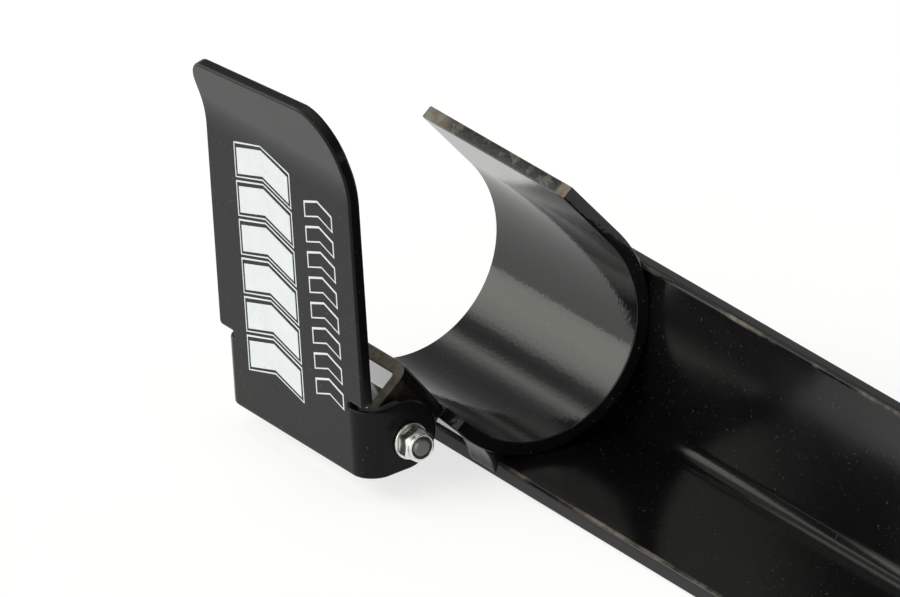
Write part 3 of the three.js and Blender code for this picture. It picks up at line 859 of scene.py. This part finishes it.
def black_coat(name, colour, dusty, rough, peel=0.04, dust=0.25, shine=0.4, bare_and_highlight=None):
    """Stoved black paint: faint orange peel, cloudy gloss, a few specks; its last argument is a function that
    gives the places that take a bare-metal colour: real bare metal on the cradle, and a painted highlight
    along the spike's toes."""
    material, tree, shader, place = start_material(name)
    clouds = noise_node(tree, place, 30, 4, 0.55)
    specks = noise_node(tree, place, 1300, 1, 0.5)
    film = mapped(tree, clouds, 0.45, 0.75, 0.0, dust)
    dots = mapped(tree, specks, 0.745, 0.775, 0.0, 0.6)
    paint = mixed(tree, dots, mixed(tree, film, colour, dusty), SPECK)
    gloss = mapped(tree, clouds, 0.35, 0.7, rough[0], rough[1])
    shader.inputs["Specular IOR Level"].default_value = shine
    wave = bumped(tree, noise_node(tree, place, 24, 1, 0.4), 0.15, 0.0004)
    skin = bumped(tree, noise_node(tree, place, 700, 1, 0.4), peel, 0.0003, wave)
    if bare_and_highlight:
        # bare-metal colour where the mask says: real wear on the cradle, a painted highlight along the
        # spike's toes
        rust = noise_node(tree, place, 260, 5, 0.65)
        metal = mixed(tree, mapped(tree, rust, 0.40, 0.62, 0.0, 1.0), GROUND, RUST)
        mask = bare_and_highlight(tree, place, noise_node(tree, place, 150, 4, 0.6))
        tree.links.new(mixed(tree, mask, paint, metal), shader.inputs["Base Color"])
        wear_and_highlight = add(tree, "ShaderNodeMix", {"Factor": mask, "A": gloss, "B": 0.5}, data_type="FLOAT")
        tree.links.new(wear_and_highlight.outputs[0], shader.inputs["Roughness"])
        pits = bumped(tree, joined(tree, "MULTIPLY", rust, mask), 0.35, 0.0004, skin)
        tree.links.new(pits, shader.inputs["Normal"])
    else:
        tree.links.new(paint, shader.inputs["Base Color"])
        tree.links.new(gloss, shader.inputs["Roughness"])
        tree.links.new(skin, shader.inputs["Normal"])
    return material


def toe_painted_highlight(tree, place, patches):
    """Painted highlight: blotches of bare-metal colour along the rounded toes of both legs, where their
    highlight falls.
    """
    runs = noise_node(tree, place, 60, 4, 0.6, stretch=(1, 0.5, 1))
    toe = LEG - TOE_RADIUS
    upper = joined(
        tree, "MULTIPLY",
        slab(tree, place, Vector((0, 0, 1)), toe - 0.2, toe + 0.4),
        slab(tree, place, Vector((1, 0, 0)), LEG_THICKNESS - 0.9 - ORIGIN.x, LEG_THICKNESS - 0.4 - ORIGIN.x),
    )
    lower = joined(
        tree, "MULTIPLY",
        slab(tree, place, Vector((1, 0, 0)), toe - 0.2 - ORIGIN.x, toe + 0.4 - ORIGIN.x),
        slab(tree, place, Vector((0, 0, 1)), LEG_THICKNESS - 0.9, LEG_THICKNESS - 0.4),
    )
    wear_and_highlight = joined(tree, "MAXIMUM", upper, lower)
    return joined(tree, "MULTIPLY", wear_and_highlight, mapped(tree, runs, 0.45, 0.60, 0.0, 0.9),
                  mapped(tree, patches, 0.3, 0.6, 0.4, 1.0))


def cradle_bare(tree, place, patches):
    """Where the cradle's paint is gone: the cut ends of both arms, and the tabs' outer faces thinly."""
    centre = Vector((CRADLE_CENTRE, MIDDLE, CRADLE_CENTRE)) - ORIGIN
    up = CRADLE_FRAME.to_3x3() @ Vector((0, 0, 1))
    arm_up = ARM_FRAME.to_3x3() @ Vector((0, 0, 1))
    upper_tip = centre.dot(up) + UPPER_ARM
    lower_tip = centre.dot(arm_up) + LOWER_ARM
    upper_end = slab(tree, place, up, upper_tip - 0.25, upper_tip - 0.05)
    lower_end = slab(tree, place, arm_up, lower_tip - 0.4, lower_tip - 0.2)
    hinge_side = slab(tree, place, Vector((1, 0, 0)), 30, 31)
    other_side = slab(tree, place, Vector((-1, 0, 0)), -21, -20)
    ends = joined(
        tree, "MAXIMUM",
        slab(tree, place, Vector((0, 1, 0)), MIDDLE - 6.0, MIDDLE - 4.5),
        slab(tree, place, Vector((0, -1, 0)), MIDDLE - 16.0, MIDDLE - 9.0),
    )
    chips = mapped(tree, patches, 0.52, 0.62, 0.0, 0.5)
    upper = joined(tree, "MULTIPLY", upper_end, other_side, joined(tree, "MAXIMUM", ends, chips))
    facing = add(tree, "ShaderNodeVectorMath", {
        0: add(tree, "ShaderNodeTexCoord").outputs["Normal"], 1: tuple(arm_up),
    }, operation="DOT_PRODUCT").outputs["Value"]
    strip = joined(
        tree, "MULTIPLY",
        mapped(tree, facing, 0.6, 0.8, 0.0, 1.0),
        slab(tree, place, Vector((1, 0, 0)), 50, 52),
    )
    lower = joined(
        tree, "MULTIPLY", joined(tree, "MAXIMUM", lower_end, strip), hinge_side,
        mapped(tree, patches, 0.25, 0.45, 0.35, 1.0),
    )
    outer = slab(tree, place, Vector((0, 1, 0)), TAB_SPAN / 2 - 0.2, TAB_SPAN / 2 - 0.05)
    beyond = slab(tree, place, Vector((0, -1, 0)), -TAB_SPAN / 2 - 0.3, -TAB_SPAN / 2 - 0.1)
    tab = joined(tree, "MULTIPLY", outer, beyond, hinge_side, mapped(tree, patches, 0.35, 0.7, 0.05, 0.3))
    return joined(tree, "MAXIMUM", upper, lower, tab)


def plated(name, colour, rough, dull=None):
    """Bright zinc plate: faint cloudiness and machining marks; dull greys it past a distance along y."""
    material, tree, shader, place = start_material(name)
    clouds = noise_node(tree, place, 700, 4, 0.6)
    marks = noise_node(tree, place, 1500, 3, 0.6, stretch=(1, 6, 1))
    darker = tuple(c * 0.72 for c in colour[:3]) + (1,)
    base = mixed(tree, mapped(tree, clouds, 0.35, 0.7, 0, 0.6), colour, darker)
    if dull:
        far_out = slab(tree, place, Vector((0, 1, 0)), dull, dull + 0.2)
        base = mixed(tree, far_out, base, (0.16, 0.155, 0.15, 1))
    tree.links.new(base, shader.inputs["Base Color"])
    shader.inputs["Metallic"].default_value = 1.0
    tree.links.new(mapped(tree, marks, 0.3, 0.7, rough[0], rough[1]), shader.inputs["Roughness"])
    tree.links.new(bumped(tree, marks, 0.15, 0.0001), shader.inputs["Normal"])
    return material


def dull_plastic(name, colour, lighter, scale):
    """Matt plastic, mottled between two colours."""
    material, tree, shader, place = start_material(name)
    mottle = noise_node(tree, place, scale, 4, 0.6)
    tree.links.new(mixed(tree, mottle, colour, lighter), shader.inputs["Base Color"])
    tree.links.new(mapped(tree, mottle, 0.3, 0.7, 0.4, 0.65), shader.inputs["Roughness"])
    tree.links.new(bumped(tree, mottle, 0.1, 0.0001), shader.inputs["Normal"])
    return material


def ink(name):
    """White screen print, thin and speckled where it didn't take."""
    material, tree, shader, place = start_material(name)
    specks = noise_node(tree, place, 900, 4, 0.7)
    cloud = noise_node(tree, place, 120, 3, 0.6)
    missing = mapped(tree, specks, 0.66, 0.70, 0.0, 1.0)
    white = mixed(tree, cloud, (0.50, 0.52, 0.55, 1), (0.60, 0.62, 0.65, 1))
    tree.links.new(mixed(tree, missing, white, (0.04, 0.04, 0.042, 1)), shader.inputs["Base Color"])
    tree.links.new(mapped(tree, cloud, 0.3, 0.7, 0.4, 0.6), shader.inputs["Roughness"])
    tree.links.new(bumped(tree, specks, 0.1, 0.0001), shader.inputs["Normal"])
    return material


BLACK = (0.0040, 0.0040, 0.0044, 1)
DUSTY = (0.012, 0.0115, 0.011, 1)
SPECK = (0.14, 0.14, 0.13, 1)
GROUND = (0.15, 0.14, 0.125, 1)
RUST = (0.10, 0.062, 0.040, 1)
# the spike coat's blotches along the toes are a painted highlight in bare-metal colour
spike_coat = black_coat("spike coat", BLACK, DUSTY, (0.14, 0.20), dust=0.15, shine=0.2, bare_and_highlight=toe_painted_highlight)
cradle_coat = black_coat("cradle coat", BLACK, DUSTY, (0.08, 0.13), peel=0.10, bare_and_highlight=cradle_bare)
flap_coat = black_coat("flap coat", BLACK, DUSTY, (0.15, 0.20), peel=0.03, shine=0.13, dust=0.15)
weld_coat = black_coat("weld coat", BLACK, DUSTY, (0.18, 0.26), shine=0.16)
zinc = plated("zinc plate", (0.80, 0.79, 0.76, 1), (0.16, 0.34))
bolt_zinc = plated("bolt zinc", (0.70, 0.69, 0.66, 1), (0.25, 0.4), dull=NUT_BASE + NUT_HEX_HEIGHT - ORIGIN.y)
nylon = dull_plastic("nylon insert", (0.012, 0.012, 0.012, 1), (0.03, 0.03, 0.028, 1), 1500)
washer_nylon = dull_plastic("friction washer", (0.008, 0.008, 0.008, 1), (0.016, 0.016, 0.016, 1), 900)
white_ink = ink("white ink")

# ------------------------------------------------------------------ the object

HERE = Matrix.Identity(4)

make_piece("flap", flap_solid(), FLAP_FRAME, "flap", ["flap_plate"], flap_coat)
make_piece("cradle", cradle_solid(), HERE, "spike", ["rod_cradle"], cradle_coat)
make_piece("angle", angle_solid(), HERE, "spike", ["angle_spike"], spike_coat)
make_piece("butt_plate", stop_solid(), HERE, "spike", ["butt_stop"], spike_coat)
make_piece("bolt", bolt_solid(), PIVOT_FRAME, "flap", ["pivot_bolt"], bolt_zinc, 35)
make_piece("lock_nut", nut_solid(), PIVOT_FRAME, "flap", ["nut_body"], zinc, 35)

NYLON_LOW = NUT_BASE + NUT_HEX_HEIGHT - 0.1
NYLON_HIGH = NUT_BASE + NUT_HEIGHT - 0.5
FRICTION_PLAY = ((EAR_SPAN - TAB_SPAN) / 2 - FLAP_THICKNESS - FRICTION_THICKNESS) / 2
FRICTION_NEAR = TAB_NEAR + FRICTION_PLAY
FRICTION_FAR = TAB_FAR - FRICTION_PLAY
RINGS = [
    ("lock_ring", "flap", "nut_nylon_ring", "nylon_insert", nylon,
     (THREAD_RADIUS + 0.04, 4.08, NYLON_LOW, NYLON_HIGH)),
    ("near_washer", "flap", "nut_washer", "zinc_plate", zinc,
     (BORE_RADIUS + 0.1, WASHER_RADIUS, EAR_NEAR + GAP, EAR_NEAR + GAP + WASHER_THICKNESS)),
    ("far_washer", "flap", "head_washer", "zinc_plate", zinc,
     (BORE_RADIUS + 0.1, WASHER_RADIUS, EAR_FAR - GAP - WASHER_THICKNESS, EAR_FAR - GAP)),
    ("near_friction_ring", "spike", "friction_washer_near", "friction_washer", washer_nylon,
     (BORE_RADIUS + 0.1, FRICTION_RADIUS, FRICTION_NEAR, FRICTION_NEAR + FRICTION_THICKNESS)),
    ("far_friction_ring", "spike", "friction_washer_far", "friction_washer", washer_nylon,
     (BORE_RADIUS + 0.1, FRICTION_RADIUS, FRICTION_FAR - FRICTION_THICKNESS, FRICTION_FAR)),
    ("sleeve", "spike", "spacer_sleeve", "zinc_plate", zinc,
     (BORE_RADIUS + CLEARANCE, SLEEVE_RADIUS,
      TAB_FAR + CRADLE_THICKNESS + CLEARANCE, TAB_NEAR - CRADLE_THICKNESS - CLEARANCE)),
]
for piece_name, body, node, slot, material, size in RINGS:
    make_piece(piece_name, washer_body(*size), PIVOT_FRAME, body, [node], material)

# along the angle: lower weld, how far its ends taper, upper weld, its radius
STITCHES = [
    ("near", (64, 84), (6, 0.8), (62, 77), 2.5),
    ("middle", (28, 43), (3, 3), (27, 43), 2.9),
    ("far", (2, 17), (3, 3), (4, 18), 2.9),
]
for number, (place_name, lower, fade, upper, thick) in enumerate(STITCHES):
    make_piece(
        f"lower_stitch_{place_name}", fillet_solid(*lower, number + 1, fade),
        HERE, "spike", [f"weld_lower_{place_name}"], weld_coat, 50,
    )
    bead = weld_solid((6.4, upper[0], 59.4), (6.4, upper[1], 59.4), thick, number + 5)
    make_piece(
        f"upper_stitch_{place_name}", bead, HERE, "spike", [f"weld_upper_{place_name}"],
        weld_coat, 70,
    )

STOP_FACE = STOP_POSITION + STOP_THICKNESS + 0.6
for name, start, end, seed in (
    ("stop_lower", (16, STOP_FACE, 5.6), (43, STOP_FACE, 5.6), 9),
    ("stop_upper", (5.6, STOP_FACE, 16), (5.6, STOP_FACE, 43), 12),
):
    make_piece(f"{name}_stitch", weld_solid(start, end, 3.0, seed), HERE, "spike",
               [f"weld_{name}"], weld_coat, 70)

# two columns of chevrons up the flap: large ones filled and outlined, small ones outlined
BIG_MIDDLE = -9.5
BIG_HALF = 15.5
BIG_BASE = 6.5
BIG_PITCH = 13.2
SMALL_MIDDLE = 24.0
SMALL_HALF = 8.5
SMALL_BASE = 11.0
SMALL_PITCH = 8.6

shapes = []
for step in range(6):
    mark = chevron(BIG_MIDDLE, BIG_BASE + step * BIG_PITCH, BIG_HALF, 4.0, 9.0)
    shapes.append((mark, None))
    shapes.append((chevron(BIG_MIDDLE, mark[0].y - 1.6, BIG_HALF + 1.5, 4.15, 12.2),
                   chevron(BIG_MIDDLE, mark[0].y - 1.1, BIG_HALF + 1.0, 4.15, 11.2)))
for step in range(8):
    base = SMALL_BASE + step * SMALL_PITCH
    shapes.append((chevron(SMALL_MIDDLE, base, SMALL_HALF, 2.6, 5.6),
                   chevron(SMALL_MIDDLE, base + 0.6, SMALL_HALF - 0.6, 2.5, 4.4)))
make_piece("flap_print", print_solid(shapes), FLAP_FRAME, "flap", [], white_ink)

# ------------------------------------------------------------------ floor, light, camera

FLOOR_HALF = 60.0
FLOOR_DROP = 0.0005
floor_bm = bmesh.new()
bmesh.ops.create_grid(floor_bm, x_segments=8, y_segments=8, size=FLOOR_HALF)
floor = placed("floor", floor_bm)
floor.location.z = cad_box[0].z - FLOOR_DROP
floor_material, floor_tree, floor_shader, floor_place = start_material("floor")
floor_shader.inputs["Base Color"].default_value = (0.34, 0.34, 0.34, 1)
floor_shader.inputs["Roughness"].default_value = 0.8
floor_shader.inputs["Specular IOR Level"].default_value = 0.2
floor_shader.inputs["Emission Color"].default_value = (1, 1, 1, 1)
floor_shader.inputs["Emission Strength"].default_value = 0.72
floor.data.materials.append(floor_material)

# the studio: angle round the spike's axis in degrees (0 over the hinge side, 90 overhead) and brightness
SKY = [
    (0, 2.5), (10, 3.0), (25, 3.1), (40, 2.8), (48, 2.3), (54, 1.4), (60, 0.45), (68, 0.33), (74, 0.42),
    (80, 1.1), (86, 1.7), (92, 1.2), (98, 0.62), (105, 0.34), (115, 0.26), (130, 0.28), (145, 0.4),
    (160, 0.65), (180, 0.9),
]
SKY_TOP = 4.0
WARM = (0.98, 1.0, 0.90)


def studio_sky():
    """Long soft panels that run along the spike, dimmer behind the camera."""
    world = bpy.data.worlds.new("studio")
    world.use_nodes = True
    tree = world.node_tree
    direction = add(tree, "ShaderNodeTexCoord").outputs["Generated"]
    split = add(tree, "ShaderNodeSeparateXYZ", {"Vector": direction})
    turn = add(tree, "ShaderNodeMath", {0: split.outputs["Z"], 1: split.outputs["X"]}, operation="ARCTAN2")
    share = mapped(tree, turn.outputs[0], 0.0, math.pi, 0.0, 1.0)
    ramp = add(tree, "ShaderNodeValToRGB", {"Fac": share})
    ramp.color_ramp.interpolation = "EASE"
    stops = ramp.color_ramp.elements
    while len(stops) < len(SKY):
        stops.new(0.5)
    for stop, (angle, brightness) in zip(stops, SKY):
        stop.position = angle / 180
        tint = WARM if brightness > 1.05 else (1, 1, 1)
        stop.color = tuple(brightness / SKY_TOP * c for c in tint) + (1,)
    behind = mapped(tree, split.outputs["Y"], 0.0, 0.6, SKY_TOP, SKY_TOP * 0.5)
    background = tree.nodes["Background"]
    tree.links.new(ramp.outputs["Color"], background.inputs["Color"])
    tree.links.new(behind, background.inputs["Strength"])
    return world


bpy.context.scene.world = studio_sky()
bpy.context.scene.view_settings.view_transform = "Standard"
bpy.context.scene.view_settings.look = "None"

CAMERA_TARGET = Vector((-0.0144, -0.0601, 0.0182))
CAMERA_DISTANCE = 5.4064
CAMERA_LENS = 677.5
CAMERA_RIGHT = Vector((-0.85407, 0.51989, 0.01700))
CAMERA_BACK = Vector((0.49196, 0.79671, 0.35104)).normalized()
camera_data = bpy.data.cameras.new("camera")
camera_data.sensor_width = 36
camera_data.lens = CAMERA_LENS
camera_data.clip_start = 0.1
camera_data.clip_end = 200
camera = bpy.data.objects.new("camera", camera_data)
camera_up = CAMERA_BACK.cross(CAMERA_RIGHT).normalized()
camera_right = camera_up.cross(CAMERA_BACK).normalized()
camera.matrix_world = Matrix.Translation(CAMERA_TARGET + CAMERA_BACK * CAMERA_DISTANCE) @ Matrix((
    camera_right, camera_up, CAMERA_BACK)).transposed().to_4x4()
bpy.context.scene.collection.objects.link(camera)
bpy.context.scene.camera = camera
